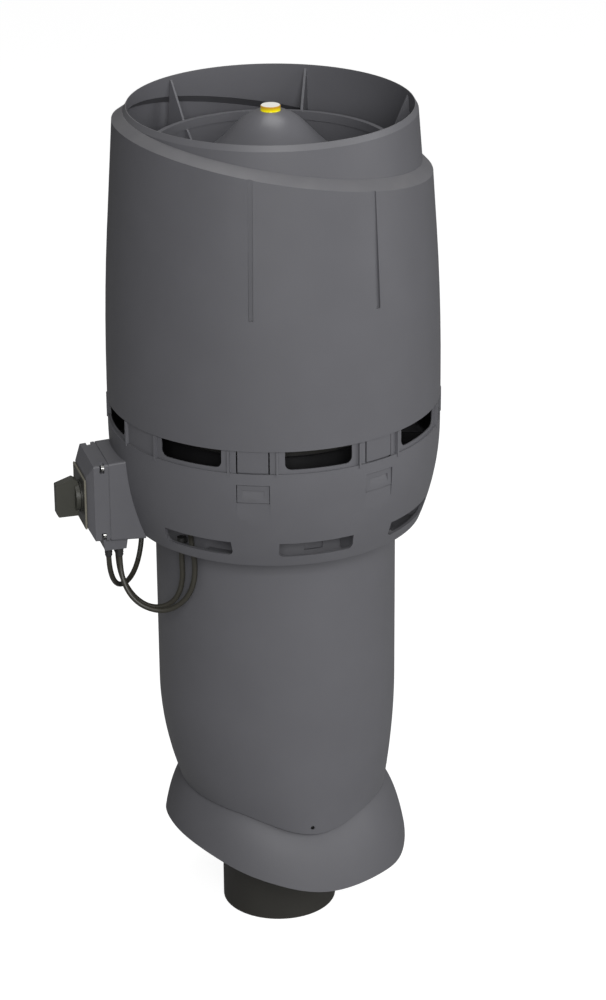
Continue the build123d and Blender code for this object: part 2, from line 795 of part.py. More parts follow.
def make_stator_tube():
    z_top = hub_low_z - 3.2 - 3.0
    body = ring(tube_r, bearing_r - 2.5, core_low_z - 14, z_top)
    body += ring(tube_r + 7, bearing_r - 2.5, z_top - 3, z_top)
    low_seat = disc(bearing_r, core_low_z - 15, core_low_z - 14 + bearing_h)
    high_seat = disc(bearing_r, z_top - bearing_h, z_top + 1)
    return body - low_seat - high_seat


def make_bearings():
    z_top = hub_low_z - 3.2 - 3.0
    low = ring(bearing_r, shaft_r + running_gap, core_low_z - 14, core_low_z - 14 + bearing_h)
    high = ring(bearing_r, shaft_r + running_gap, z_top - bearing_h, z_top)
    return [low, high]


def make_stator_core():
    """Laminated stack with twelve teeth."""
    body = ring(tube_r + 8, tube_r, core_low_z, core_high_z)
    neck = block(-2.4, 2.4, -(core_r - 3), -(tube_r + 7), core_low_z, core_high_z)
    shoe_box = block(-8.2, 8.2, -core_r - 1, -core_r / 2, core_low_z, core_high_z)
    shoe = ring(core_r, core_r - 4, core_low_z, core_high_z) & shoe_box
    return body + around(neck + shoe, 12)


def make_windings():
    """End turns of the coils, above and below the stack."""
    inner = tube_r + 9.0
    outer = core_r - 4.5
    low = ring(outer, inner, core_low_z - winding_h, core_low_z)
    high = ring(outer, inner, core_high_z, core_high_z + winding_h)
    return [low, high]


def make_rotor_cup():
    """External rotor: a cup with its floor over the fan wheel."""
    z0 = wheel_high_z
    body = disc(rotor_r, z0, rotor_high_z) - disc(rotor_r - rotor_wall, z0 + 4.0, rotor_high_z + 1)
    body += disc(tube_r, z0, z0 + 9)
    bolt = pin_along((0, 0, 1), (0, -wheel_bolt_r, z0 - 1), 1.7, 10)
    return body - disc(shaft_r, z0 - 1, z0 + 20) - around(bolt, 4)


def make_magnets():
    return ring(rotor_r - rotor_wall, rotor_r - rotor_wall - magnet_t, core_low_z - 2, core_high_z + 2)


def make_shaft():
    z_top = hub_low_z - 3.2 + 4.0
    body = disc(shaft_r, wheel_high_z - 2, z_top)
    groove_cut = ring(shaft_r + 1, shaft_r - 0.8, z_top - 3.0, z_top - 1.8)
    return body - groove_cut


def make_circlip():
    z_top = hub_low_z - 3.2 + 4.0
    clip = ring(shaft_r + 2.2, shaft_r - 0.7, z_top - 2.9, z_top - 1.9)
    return clip - block(-1.5, 1.5, -20, 0, z_top - 5, z_top)


# Fan wheel

def blade():
    """One backward curved blade, as a curved strip."""
    sweep_angle = 38.0

    def spot(r, share):
        turn = radians(sweep_angle * share)
        return (r * sin(turn), -r * cos(turn))

    r_in = eye_r + 4.0
    line = ThreePointArc(spot(r_in, 0.0), spot((r_in + wheel_r) / 2, 0.36), spot(wheel_r - 2.0, 1.0))
    strip = trace(line, line_width=blade_t)
    return Pos(0, 0, wheel_low_z + 2.0) * extrude(strip, wheel_high_z - wheel_low_z - 4.0)


def make_impeller():
    """Back plate, blades and front shroud in one moulding."""
    back = ring(wheel_r, shaft_r + 6, wheel_high_z - wheel_plate_t, wheel_high_z)
    mouth_z = wheel_low_z - eye_lip
    shroud = revolved([
        (wheel_r, wheel_low_z + 9), (wheel_r, wheel_low_z + 11.5), (eye_r + 14, wheel_low_z + 4.5),
        (eye_r + 2.5, wheel_low_z + 1), (eye_r, wheel_low_z), (eye_r, mouth_z), (eye_r + 2.4, mouth_z),
        (eye_r + 2.4, wheel_low_z - 1.5), (eye_r + 14, wheel_low_z + 2.0),
    ])
    blades = around(blade(), blade_count)
    below = revolved([
        (wheel_r + 5, wheel_low_z + 9.5), (eye_r + 14, wheel_low_z + 2.5), (eye_r + 1.5, wheel_low_z - 1),
        (eye_r + 1.5, wheel_low_z - 20), (wheel_r + 5, wheel_low_z - 20),
    ])
    body = back + [b - below for b in blades] + shroud
    bolt = pin_along((0, 0, 1), (0, -wheel_bolt_r, wheel_high_z - 10), 1.7, 20)
    return body - around(bolt, 4)


def wheel_screws():
    z0 = wheel_high_z - wheel_plate_t
    head = pin_along((0, 0, -1), (0, -wheel_bolt_r, z0), 3.0, 2.2)
    shank = pin_along((0, 0, 1), (0, -wheel_bolt_r, z0), 1.6, wheel_plate_t + 3.5)
    return around(head + shank, 4)


# Inlet nozzle

def plate_z():
    """Height of the casing's ledge."""
    return pipe_top_z + fit_gap + ledge_t


def make_nozzle_gasket():
    return ring(pipe_r, ledge_r + 2, plate_z(), plate_z() + gasket_t) - around(nozzle_bolt(1.9), 4, 45)


def nozzle_bolt(r):
    return pin_along((0, 0, 1), (0, -(ledge_r + pipe_r) / 2, plate_z() - 10), r, 30)


def make_inlet_nozzle():
    """Plate with a bellmouth that leads the air into the fan wheel."""
    z0 = plate_z() + gasket_t
    tip_z = wheel_low_z - eye_lip - nozzle_gap
    plate = ring(pipe_r, duct_r + 13, z0, z0 + plate_t)
    mouth = revolved([
        (duct_r + 14, z0), (duct_r + 14, z0 + plate_t), (duct_r + 6, z0 + 5), (nozzle_r, z0 + 13),
        (nozzle_r, tip_z), (nozzle_r - nozzle_t, tip_z), (nozzle_r - nozzle_t, z0 + 12), (duct_r + 4, z0 + 2.6),
        (duct_r + 10, z0),
    ])
    return plate + mouth - around(nozzle_bolt(1.9), 4, 45)


def nozzle_screws():
    z1 = plate_z() + gasket_t + plate_t
    y = -(ledge_r + pipe_r) / 2
    head = pin_along((0, 0, 1), (0, y, z1), 3.4, 2.4)
    shank = pin_along((0, 0, -1), (0, y, z1), 1.7, plate_t + gasket_t + ledge_t)
    return around(head + shank, 4, 45)


# Isolator switch

def box_section(x, grow_y, grow_z):
    """A rectangle across the box at a distance from the fan's axis."""
    plane = Plane(origin=(-x, box_y, box_z), x_dir=(0, 1, 0), z_dir=(-1, 0, 0))
    draft = 2 * box_draft * (cover_out_x - bevel_out - x)
    return plane * RectangleRounded(box_w + grow_y, box_h + draft + grow_z, box_round)


def box_solid(x_in, x_out, inset):
    """The drafted box between two distances from the axis."""
    return loft([box_section(x_in, -2 * inset, -2 * inset), box_section(x_out, -2 * inset, -2 * inset)])


def make_switch_base():
    low = bowl_low_z - 20
    bowl = bowl_profile(-fit_gap / 2, low, bowl_top_z)
    rear = bowl_profile(-fit_gap / 2 - box_wall, low, bowl_top_z)
    outer = box_solid(box_root_x, cover_in_x, 0)
    hollow = box_solid(box_root_x, cover_in_x + 1, box_wall) - rear
    body = outer - bowl - hollow
    body += [(post & outer) - bowl for post in corner_posts(cover_in_x - 26, cover_in_x)]
    cable_holes = [pin_along((0, 0, -1), (-x, y, box_z), cable_r + 1.5, box_h) for x, y in gland_spots()]
    bores = [pin_along((1, 0, 0), (-cover_in_x - 1, y, z), 1.6, 12) for y, z in corner_spots()]
    return body - cable_holes - bores


def corner_spots():
    """Centres of the four corner screws, in Y and Z."""
    half_y = box_w / 2 - 4.0
    half_z = box_h / 2 - 4.0
    return [(box_y + way_y * half_y, box_z + way_z * half_z) for way_y in (-1, 1) for way_z in (-1, 1)]


def corner_posts(x_in, x_out):
    return [block(-x_out, -x_in, y - 4, y + 4, z - 4, z + 4) for y, z in corner_spots()]


def make_switch_gasket():
    x0 = cover_in_x
    body = box_solid(x0, x0 + gasket_t, 0.8) - box_solid(x0 - 1, x0 + gasket_t + 1, 2.4)
    return body - [pin_along((-1, 0, 0), (-x0 + 5, y, z), 1.8, 20) for y, z in corner_spots()]


def make_switch_cover():
    """Bevelled cover with screw pockets in its corners."""
    x_in = cover_in_x + gasket_t
    x_edge = cover_out_x - bevel_out
    outer = box_solid(x_in, x_edge, 0)
    flat = box_section(cover_out_x, -2 * bevel_y, -2 * bevel_z)
    edge = box_section(x_edge, 0, 0)
    outer = outer + loft([edge, flat])
    hollow = box_solid(x_in - 1, x_edge - 1.5, box_wall)
    hollow += loft([box_section(x_edge - 1.5, -2 * box_wall, -2 * box_wall),
                    box_section(cover_out_x - box_wall, -2 * bevel_y - 2, -2 * bevel_z - 2)])
    body = outer - hollow
    body += [post & outer for post in corner_posts(x_in, x_in + 6.0)]
    body = body - screw_pockets()
    hole = pin_along((-1, 0, 0), (-x_in, box_y, knob_z), 11.0, 40)
    return body - hole


def screw_pockets():
    """Narrow pockets across the corners, where the cover's screw heads sit."""
    pockets = []
    x0 = cover_in_x + gasket_t + 3.0
    for y, z in corner_spots():
        near_y, far_y = sorted((y - 3.4 * (1 if y > box_y else -1), y + 8 * (1 if y > box_y else -1)))
        near_z, far_z = sorted((z - 3.4 * (1 if z > box_z else -1), z + 8 * (1 if z > box_z else -1)))
        pockets.append(block(-x0 - 4.6, -x0, near_y, far_y, near_z, far_z))
        pockets.append(pin_along((-1, 0, 0), (-x0 + 12, y, z), 1.8, 16))
    return pockets


def cover_screws():
    """Screws with slotted heads in the cover's corner pockets."""
    x0 = cover_in_x + gasket_t + 3.0
    screws = []
    for y, z in corner_spots():
        head = pin_along((-1, 0, 0), (-x0, y, z), 3.0, 2.6)
        slot = block(-x0 - 3, -x0 - 1.6, y - 4, y + 4, z - 0.5, z + 0.5)
        shank = pin_along((1, 0, 0), (-x0, y, z), 1.6, 14.0)
        screws.append(head - slot + shank)
    return screws


def make_switch_plate():
    """Square front plate of the switch, with its raised centre."""
    x0 = cover_out_x
    plate = block(-x0 - switch_plate_t, -x0, box_y - plate_side / 2, box_y + plate_side / 2,
                  knob_z - plate_side / 2, knob_z + plate_side / 2)
    plate = fillet(plate.edges().filter_by(Axis.X), 2.5)
    collar = pin_along((-1, 0, 0), (-x0, box_y, knob_z), knob_base_r + 2, switch_plate_t + 1.0)
    return plate + collar - pin_along((-1, 0, 0), (-x0 + 5, box_y, knob_z), spindle_r + 0.4, 20)


def make_switch_block():
    """The switch itself, behind the cover, with its terminal chambers."""
    x_wall = cover_out_x - box_wall - 0.3
    core = block(-x_wall, -x_wall + 34, box_y - 19, box_y + 19, knob_z - 19, knob_z + 19)
    core = core - bowl_profile(-fit_gap / 2 - box_wall - 1, bowl_low_z - 20, bowl_top_z)
    neck = pin_along((-1, 0, 0), (-x_wall, box_y, knob_z), 10.8, box_wall + 0.2)
    cells = [block(-x_wall + 8, -x_wall + 18, box_y + y0, box_y + y0 + 8, knob_z + z0 - 3, knob_z + z0 + 3)
             for y0 in (-20, 12) for z0 in (-11, 0, 11)]
    bore = pin_along((1, 0, 0), (-cover_out_x - 1, box_y, knob_z), spindle_r + running_gap, 24)
    return core + neck - cells - bore


def make_spindle():
    x_out = cover_out_x + switch_plate_t + 1.0 + fit_gap
    return pin_along((1, 0, 0), (-x_out - 10, box_y, knob_z), spindle_r, 28)


def make_knob():
    """Round base with a flat grip."""
    x0 = cover_out_x + switch_plate_t + 1.0 + fit_gap
    base = pin_along((-1, 0, 0), (-x0, box_y, knob_z), knob_base_r, knob_base_t)
    outline = Polyline([
        (-x0 - 1.0, 0, knob_z - grip_w / 2), (-x0 - grip_out - 1.5, 0, knob_z - grip_w / 2),
        (-x0 - grip_out - 3.5, 0, knob_z - grip_w / 2 + 3.5),
        (-x0 - grip_out - 3.5, 0, knob_z + grip_w / 2 - 4.5),
        (-x0 - 5.5, 0, knob_z + grip_w / 2 + 1.0), (-x0 - 1.0, 0, knob_z + grip_w / 2 - 2.0)], close=True)
    grip = Pos(0, box_y - grip_t / 2, 0) * extrude(make_face(outline), amount=grip_t, dir=(0, 1, 0))
    grip = fillet(grip.edges().filter_by(Axis.Y), 1.0)
    return base + grip - pin_along((1, 0, 0), (-x0 - 10, box_y, knob_z), spindle_r, 30)


# Gland block and cables

def gland_spots():
    """Where the cables leave the gland block: distance from the axis and Y."""
    return [(-route[0][0], route[0][1]) for route in (motor_route, supply_route, control_route)]


def make_gland_block():
    """Block under the box, with a short nipple for each cable."""
    top = box_z - box_h / 2 + 2.0
    low_face = Plane(origin=(-gland_x, gland_y, gland_low_z)) * Rectangle(gland_w - 4, gland_w - 2)
    high_face = Plane(origin=(-gland_x, gland_y, top)) * Rectangle(gland_w, gland_w)
    nipples = [pin_along((0, 0, 1), (-x, y, cable_top_z), cable_r + 1.1, 5) for x, y in gland_spots()]
    return loft([low_face, high_face]) + nipples - box_solid(gland_x - gland_w, gland_x + gland_w, -0.1)


# Routes of the cables, from the gland block to where each goes back into the fan
motor_route = [
    (-165.5, -23.0, cable_top_z), (-165.5, -23.0, 390.5), (-163.6, -20.0, 377.0), (-159.0, -12.5, 364.0),
    (-152.0, -2.0, 354.5), (-142.0, 11.0, 350.0), (-131.5, 23.5, 354.5), (-123.8, 34.0, 366.0),
    (-119.4, 41.2, 382.0), (-118.4, 43.2, 400.0), (-118.4, 43.2, 415.0),
]
supply_route = [
    (-155.5, -16.0, cable_top_z), (-155.5, -16.0, 390.5), (-154.6, -20.5, 376.5), (-150.6, -27.0, 363.5),
    (-143.0, -34.5, 353.0), (-132.5, -41.0, 347.0), (-121.0, -46.5, 347.5), (-111.0, -51.0, 354.5),
    (-105.4, -53.4, 366.5), (-103.4, -54.4, 381.0), (-103.9, -54.0, 396.0), (-103.9, -54.0, 410.0),
]
control_route = [
    (-155.5, -25.0, cable_top_z), (-155.5, -25.0, 390.0), (-155.2, -29.5, 376.0), (-151.5, -36.5, 363.0),
    (-144.0, -43.5, 353.5), (-133.5, -49.6, 348.3), (-122.0, -55.0, 347.5), (-110.5, -60.5, 353.0),
    (-101.5, -65.5, 364.0), (-96.3, -67.8, 378.0), (-94.9, -68.4, 393.0), (-96.2, -69.4, 407.5),
    (-99.2, -71.2, 421.0), (-99.2, -71.2, 434.0),
]


def turn_radii(route):
    """Bend radii that the straight runs leave room for."""
    radii = []
    for before, here, after in zip(route, route[1:], route[2:]):
        first = Vector(*here) - Vector(*before)
        second = Vector(*after) - Vector(*here)
        half_turn = radians(first.get_angle(second)) / 2
        radii.append(0.45 * min(first.length, second.length) / tan(half_turn))
    return radii


def make_cable(route):
    """A round cable along straight runs joined by tangent arcs."""
    radii = turn_radii(route)
    path = FilletPolyline(*route, radius=radii)
    start = Plane(origin=path @ 0, z_dir=path % 0)
    return sweep(start * Circle(cable_r), path=path)


def report_cable(name, route):
    """Print a cable's bend radii and its length."""
    path = FilletPolyline(*route, radius=turn_radii(route))
    solid = make_cable(route)
    share = solid.volume / (pi * cable_r ** 2 * path.length)
    radii = " ".join(f"{r:.0f}" for r in turn_radii(route))
    print(f"{name}: length {path.length:.1f}, volume share {share:.4f}, radii {radii}")


def azimuth_of(route):
    """Azimuth of a cable's far end, in degrees from the front, + towards +X."""
    x, y = route[-1][:2]
    return degrees(atan2(x, -y))


def radius_of(route):
    """Distance of a cable's far end from the axis."""
    x, y = route[-1][:2]
    return sqrt(x * x + y * y)


def cable_entry_hole():
    """Hole in the pipe's wall for the supply cable's elbow."""
    z = supply_route[-1][2] + 6.0
    return turned(azimuth_of(supply_route), pin_along((0, 1, 0), (0, -pipe_r - 1, z), 3.5, pipe_wall + 3))


def make_supply_grommet():
    """Rubber elbow that takes the supply cable into the pipe's wall."""
    z = supply_route[-1][2]
    r = radius_of(supply_route)
    body = pin_along((0, 0, 1), (0, -r, z), cable_r + 1.3, 9.5)
    stub = pin_along((0, 1, 0), (0, -r, z + 6.0), 3.4, r - pipe_r + pipe_wall)
    return turned(azimuth_of(supply_route), body + stub)


def floor_cable_holes():
    holes = []
    for route in (motor_route, control_route):
        x, y, _ = route[-1]
        holes.append(pin_along((0, 0, 1), (x, y, floor_z - 5), cable_r + 1.6, 20))
    return holes


def make_floor_grommets():
    """Long rubber sleeves that bring two cables up through the casing's floor."""
    sleeves = []
    for route in (motor_route, control_route):
        x, y, z = route[-1]
        body = pin_along((0, 0, 1), (x, y, z), cable_r + 1.4, floor_z + floor_t + 2.0 - z)
        collar = pin_along((0, 0, 1), (x, y, floor_z - 2.3), cable_r + 3.2, 2.0)
        sleeves.append(body + collar)
    return fused(sleeves)


def main():
    write("inner_pipe", make_inner_pipe())
    write("outer_pipe", make_outer_pipe())
    write("insulation_sleeve", make_insulation())
    write("pipe_top_ring", make_top_ring())
    write("foot_collar", make_foot_collar())
    write("foot_screws", foot_screw(-1, foot_screw_z) + foot_screw(1, back_screw_z))
    write("lower_casing", make_lower_casing())
    write("casing_screws", fused([turned(a, casing_screw()) for a in casing_screw_angles]))
    write("hinge_pins", fused([hinge_pin(side, 0.0) for side in (-1, 1)]))
    write("hood", make_hood())
    write("outlet_ring", make_outlet_ring())
    write("inner_casing", make_inner_casing())
    write("motor_cone", make_motor_cone())
    write("vial_body", make_vial_body())
    write("vial_fluid", make_vial_fluid())
    write("motor_plate", make_motor_plate())
    write("motor_screws", fused(motor_screws()))
    write("stator_tube", make_stator_tube())
    write("bearings", fused(make_bearings()))
    write("stator_core", make_stator_core())
    write("stator_windings", fused(make_windings()))
    write("rotor_cup", make_rotor_cup())
    write("rotor_magnets", make_magnets())
    write("motor_shaft", make_shaft())
    write("shaft_circlip", make_circlip())
    write("fan_wheel", make_impeller())
    write("wheel_screws", fused(wheel_screws()))
    write("nozzle_gasket", make_nozzle_gasket())
    write("inlet_nozzle", make_inlet_nozzle())
    write("nozzle_screws", fused(nozzle_screws()))
    write("switch_base", make_switch_base())
    write("switch_gasket", make_switch_gasket())
    write("switch_cover", make_switch_cover())
    write("cover_screws", fused(cover_screws()))
    write("switch_block", make_switch_block())
    write("switch_plate", make_switch_plate())
    write("switch_spindle", make_spindle())
    write("switch_knob", make_knob())
    write("gland_block", make_gland_block())
    write("supply_grommet", make_supply_grommet())
    write("floor_grommets", make_floor_grommets())
    cables = (
        ("motor_cable", motor_route), ("supply_cable", supply_route), ("control_cable", control_route),
    )
    for name, route in cables:
        write(name, make_cable(route))
        report_cable(name, route)


main()
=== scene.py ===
# %% [markdown]
# # A roof exhaust fan, dressed for its portrait
# The fan stands on an insulated roof pipe. A flared collar closes the roof round the pipe's foot, a vented
# bowl holds the pipe's head, and a tall hood with an open outlet ring sits on top. The solids come from the
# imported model, one object for each real piece. This script gives them their finishes, adds the small
# pieces that are easier to shape here, and builds the light and the camera.

import json
import math

import bmesh
import bpy
from mathutils import Matrix, Vector


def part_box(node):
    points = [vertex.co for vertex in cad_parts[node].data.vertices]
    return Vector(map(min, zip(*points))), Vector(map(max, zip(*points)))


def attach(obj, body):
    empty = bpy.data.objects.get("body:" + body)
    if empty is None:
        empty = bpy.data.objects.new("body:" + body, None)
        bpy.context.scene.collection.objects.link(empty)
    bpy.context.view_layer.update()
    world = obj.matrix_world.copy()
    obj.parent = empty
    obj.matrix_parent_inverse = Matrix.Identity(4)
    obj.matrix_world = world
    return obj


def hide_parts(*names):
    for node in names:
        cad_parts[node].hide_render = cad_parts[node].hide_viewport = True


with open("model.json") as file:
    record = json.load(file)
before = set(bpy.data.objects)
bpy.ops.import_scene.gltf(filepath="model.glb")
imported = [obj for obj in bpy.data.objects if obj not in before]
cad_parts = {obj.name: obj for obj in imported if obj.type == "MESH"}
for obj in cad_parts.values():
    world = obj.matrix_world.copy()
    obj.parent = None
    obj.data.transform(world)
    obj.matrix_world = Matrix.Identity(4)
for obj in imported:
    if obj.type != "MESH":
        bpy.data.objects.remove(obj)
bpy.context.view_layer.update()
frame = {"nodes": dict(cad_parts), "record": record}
nodes = frame["nodes"]

# %% [markdown]
# ## The camera
# The picture was taken from a little above and to the left of the latches, with a long lens. The camera
# could be placed by eye, but then the ovals of the rims never quite agree. Here distance, tilt and lens were
# found by matching the edges of the real hood, bowl and pipe, and they are given as the photographer would
# set them: where the camera stands, and how far it is turned, tipped and rolled.

# %% Place the camera
camera_place = (-0.7139, -2.6276, 1.6006)
camera_turn, camera_tip, camera_roll = (math.radians(a) for a in (-15.751, 90.0 - 23.433, -0.445))
camera_data = bpy.data.cameras.new("portrait_camera")
camera_data.lens = 114.05
camera_data.sensor_width = 36.0
camera_data.clip_end = 50.0
camera = bpy.data.objects.new("portrait_camera", camera_data)
bpy.context.scene.collection.objects.link(camera)
camera.matrix_world = (
    Matrix.Translation(camera_place)
    @ Matrix.Rotation(camera_turn, 4, "Z")
    @ Matrix.Rotation(camera_tip, 4, "X")
    @ Matrix.Rotation(camera_roll, 4, "Z")
)
bpy.context.scene.camera = camera
print("camera at", [round(v, 3) for v in camera.matrix_world.translation])

# %% [markdown]
# ## The three cables
# Three round cables leave the gland block under the switch box, hang in loops and go back in beside the
# pipe. A chain of short tubes would show its joints, so each is one smooth NURBS line. The control points
# are the corners that the line rounds off, and a few of them, well spaced, give a calm curve. The bevel that
# makes the round jacket is one unit deep, and each point's own radius scales it to the cable's, because
# Blender's box of a curve reaches as far as that radius.


# %% A cable along a line of points
def cable(name, points, diameter):
    line = bpy.data.curves.new(name, "CURVE")
    line.dimensions = "3D"
    line.resolution_u = 12
    line.bevel_depth = 1.0
    line.bevel_resolution = 6
    line.use_fill_caps = True
    spline = line.splines.new("NURBS")
    spline.points.add(len(points) - 1)
    for point, (x, y, z) in zip(spline.points, points):
        point.co = (x / 1000, y / 1000, z / 1000, 1)
        point.radius = diameter / 2
    spline.order_u = 3
    spline.use_endpoint_u = True
    piece = bpy.data.objects.new(name, line)
    bpy.context.scene.collection.objects.link(piece)
    return piece


cable_top = 401.8
motor_points = [
    (-165.5, -23.0, cable_top), (-165.5, -23.0, 390.5), (-163.6, -20.0, 377.0), (-159.0, -12.5, 364.0),
    (-152.0, -2.0, 354.5), (-142.0, 11.0, 350.0), (-131.5, 23.5, 354.5), (-123.8, 34.0, 366.0),
    (-119.4, 41.2, 382.0), (-118.4, 43.2, 400.0), (-118.4, 43.2, 415.0),
]
supply_points = [
    (-155.5, -16.0, cable_top), (-155.5, -16.0, 390.5), (-154.6, -20.5, 376.5), (-150.6, -27.0, 363.5),
    (-143.0, -34.5, 353.0), (-132.5, -41.0, 347.0), (-121.0, -46.5, 347.5), (-111.0, -51.0, 354.5),
    (-105.4, -53.4, 366.5), (-103.4, -54.4, 381.0), (-103.9, -54.0, 396.0), (-103.9, -54.0, 410.0),
]
control_points = [
    (-155.5, -25.0, cable_top), (-155.5, -25.0, 390.0), (-155.2, -29.5, 376.0), (-151.5, -36.5, 363.0),
    (-144.0, -43.5, 353.5), (-133.5, -49.6, 348.3), (-122.0, -55.0, 347.5), (-110.5, -60.5, 353.0),
    (-101.5, -65.5, 364.0), (-96.3, -67.8, 378.0), (-94.9, -68.4, 393.0), (-96.2, -69.4, 407.5),
    (-99.2, -71.2, 421.0), (-99.2, -71.2, 434.0),
]
cables = {}
for cable_name, node_name, points, length in (
    ("motor_lead", "motor_cable", motor_points, 0.158),
    ("supply_lead", "supply_cable", supply_points, 0.151),
    ("control_lead", "control_cable", control_points, 0.181),
):
    lead = cable(cable_name, points, 0.005)
    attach(lead, "base")
    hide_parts(node_name)
    cables[cable_name] = lead
print("cables:", ", ".join(cables))

# %% [markdown]
# ## Smooth walls, sharp edges
# The solids arrive as loose triangles. Welding the copies of each corner and shading the faces smooth
# makes the curved walls flow. Splitting the edges where two faces meet at a clear angle keeps the rims,
# slots and grooves crisp. Both could be done to the meshes once and for all, but as modifiers they leave the
# solids themselves as they are.


# %% Weld and split every solid
solid_sharp_angle = 17.0
turned_sharp_angle = 40.0


def smooth_solid(piece, sharp_degrees):
    for face in piece.data.polygons:
        face.use_smooth = True
    weld = piece.modifiers.new("weld corners", "WELD")
    weld.merge_threshold = 0.00001
    split = piece.modifiers.new("keep edges sharp", "EDGE_SPLIT")
    split.split_angle = math.radians(sharp_degrees)


for node in nodes.values():
    smooth_solid(node, solid_sharp_angle)
print("smoothed:", len(nodes))

# %% [markdown]
# ## The nodes that every recipe uses
# Each material is one shader with a little noise, a blend of two colours, a range for the gloss and a bump.
# These nodes could be written out in each recipe. A short function for each keeps the recipes down to the
# numbers that make one material differ from the next.


# %% Small builders for materials
def new_material(name):
    material = bpy.data.materials.new(name)
    material.use_nodes = True
    tree = material.node_tree
    return material, tree, tree.nodes["Principled BSDF"], tree.links.new


def add_noise(tree, scale=5.0, detail=2.0):
    noise = tree.nodes.new("ShaderNodeTexNoise")
    noise.inputs["Scale"].default_value = scale
    noise.inputs["Detail"].default_value = detail
    return noise


def add_blend(tree, first=(0.5, 0.5, 0.5), second=(0.5, 0.5, 0.5)):
    blend = tree.nodes.new("ShaderNodeMix")
    blend.data_type = "RGBA"
    blend.inputs["A"].default_value = (*first, 1)
    blend.inputs["B"].default_value = (*second, 1)
    return blend


def add_range(tree, to_low=0.0, to_high=1.0, from_low=0.0, from_high=1.0):
    span = tree.nodes.new("ShaderNodeMapRange")
    span.inputs["From Min"].default_value = from_low
    span.inputs["From Max"].default_value = from_high
    span.inputs["To Min"].default_value = to_low
    span.inputs["To Max"].default_value = to_high
    return span


def add_bump(tree, strength, distance):
    bump = tree.nodes.new("ShaderNodeBump")
    bump.inputs["Strength"].default_value = strength
    bump.inputs["Distance"].default_value = distance
    return bump


def add_group(tree, shared):
    group = tree.nodes.new("ShaderNodeGroup")
    group.node_tree = shared
    return group


def new_group(name, inputs, outputs):
    group = bpy.data.node_groups.new(name, "ShaderNodeTree")
    for label, kind, value in inputs:
        socket = group.interface.new_socket(name=label, in_out="INPUT", socket_type=kind)
        socket.default_value = value
    for label, kind in outputs:
        group.interface.new_socket(name=label, in_out="OUTPUT", socket_type=kind)
    return group, group.nodes.new("NodeGroupInput"), group.nodes.new("NodeGroupOutput"), group.links.new


print("builders for materials are ready")

# %% [markdown]
# ## A shared grain for moulded plastic
# Moulded parts carry the fine spark-eroded texture of their tool. The same grain is on the hood, the bowl,
# the pipe and the collar. It could be a texture inside each plastic; as one node group with a grain size and
# a ripple size it stays the same everywhere and is changed in one place.


# %% Node group: moulded grain
def moulded_grain_group():
    group, given, out, link = new_group(
        "moulded grain",
        [("Grain size", "NodeSocketFloat", 1400.0), ("Ripple size", "NodeSocketFloat", 22.0)],
        [("Height", "NodeSocketFloat"), ("Mottle", "NodeSocketFloat")],
    )
    place = group.nodes.new("ShaderNodeTexCoord")
    grain = add_noise(group, detail=3.0)
    ripple = add_noise(group)
    total = group.nodes.new("ShaderNodeMath")
    total.operation = "ADD"
    link(place.outputs["Object"], grain.inputs["Vector"])
    link(place.outputs["Object"], ripple.inputs["Vector"])
    link(given.outputs["Grain size"], grain.inputs["Scale"])
    link(given.outputs["Ripple size"], ripple.inputs["Scale"])
    link(grain.outputs["Fac"], total.inputs[0])
    link(ripple.outputs["Fac"], total.inputs[1])
    link(total.outputs[0], out.inputs["Height"])
    link(ripple.outputs["Fac"], out.inputs["Mottle"])
    return group


moulded_grain = moulded_grain_group()
print("group:", moulded_grain.name)

# %% [markdown]
# ## Dust, painted highlight and rain marks
# A fan on a roof, even a new one, is never quite even: a little pale dust lies on faces that look up, and
# the gloss varies in soft vertical streaks. The pale mask on faces that look up is also a painted highlight,
# lighter where light falls from above, and the hood gets the most of it. Both marks could be painted by
# hand for each piece. A mask from the face's direction and one from stretched noise fit any piece, so the
# second group gives these two.


# %% Node group: dust, streaks and painted highlight
def dust_streaks_and_highlight_group():
    group, given, out, link = new_group(
        "dust, streaks and highlight",
        [("Dusting and highlight", "NodeSocketFloat", 0.12), ("Streak size", "NodeSocketFloat", 30.0)],
        [("Dusting and highlight mask", "NodeSocketFloat"), ("Gloss mask", "NodeSocketFloat")],
    )
    place = group.nodes.new("ShaderNodeTexCoord")
    shape = group.nodes.new("ShaderNodeNewGeometry")
    direction = group.nodes.new("ShaderNodeSeparateXYZ")
    # pale on faces that look up: dust, and a painted highlight where light falls from above
    lying = add_range(group, from_low=0.35)
    cloud = add_noise(group, scale=38.0, detail=5.0)
    masked, scaled = (group.nodes.new("ShaderNodeMath") for _ in range(2))
    masked.operation = scaled.operation = "MULTIPLY"
    stretch = group.nodes.new("ShaderNodeMapping")
    stretch.inputs["Scale"].default_value = (1.0, 1.0, 0.12)
    streak = add_noise(group, detail=3.0)
    link(shape.outputs["Normal"], direction.inputs[0])
    link(direction.outputs["Z"], lying.inputs["Value"])
    link(place.outputs["Object"], cloud.inputs["Vector"])
    link(lying.outputs["Result"], masked.inputs[0])
    link(cloud.outputs["Fac"], masked.inputs[1])
    link(masked.outputs[0], scaled.inputs[0])
    link(given.outputs["Dusting and highlight"], scaled.inputs[1])
    link(place.outputs["Object"], stretch.inputs["Vector"])
    link(stretch.outputs[0], streak.inputs["Vector"])
    link(given.outputs["Streak size"], streak.inputs["Scale"])
    link(scaled.outputs[0], out.inputs["Dusting and highlight mask"])
    link(streak.outputs["Fac"], out.inputs["Gloss mask"])
    return group


dust_streaks_and_highlight = dust_streaks_and_highlight_group()
print("group:", dust_streaks_and_highlight.name)
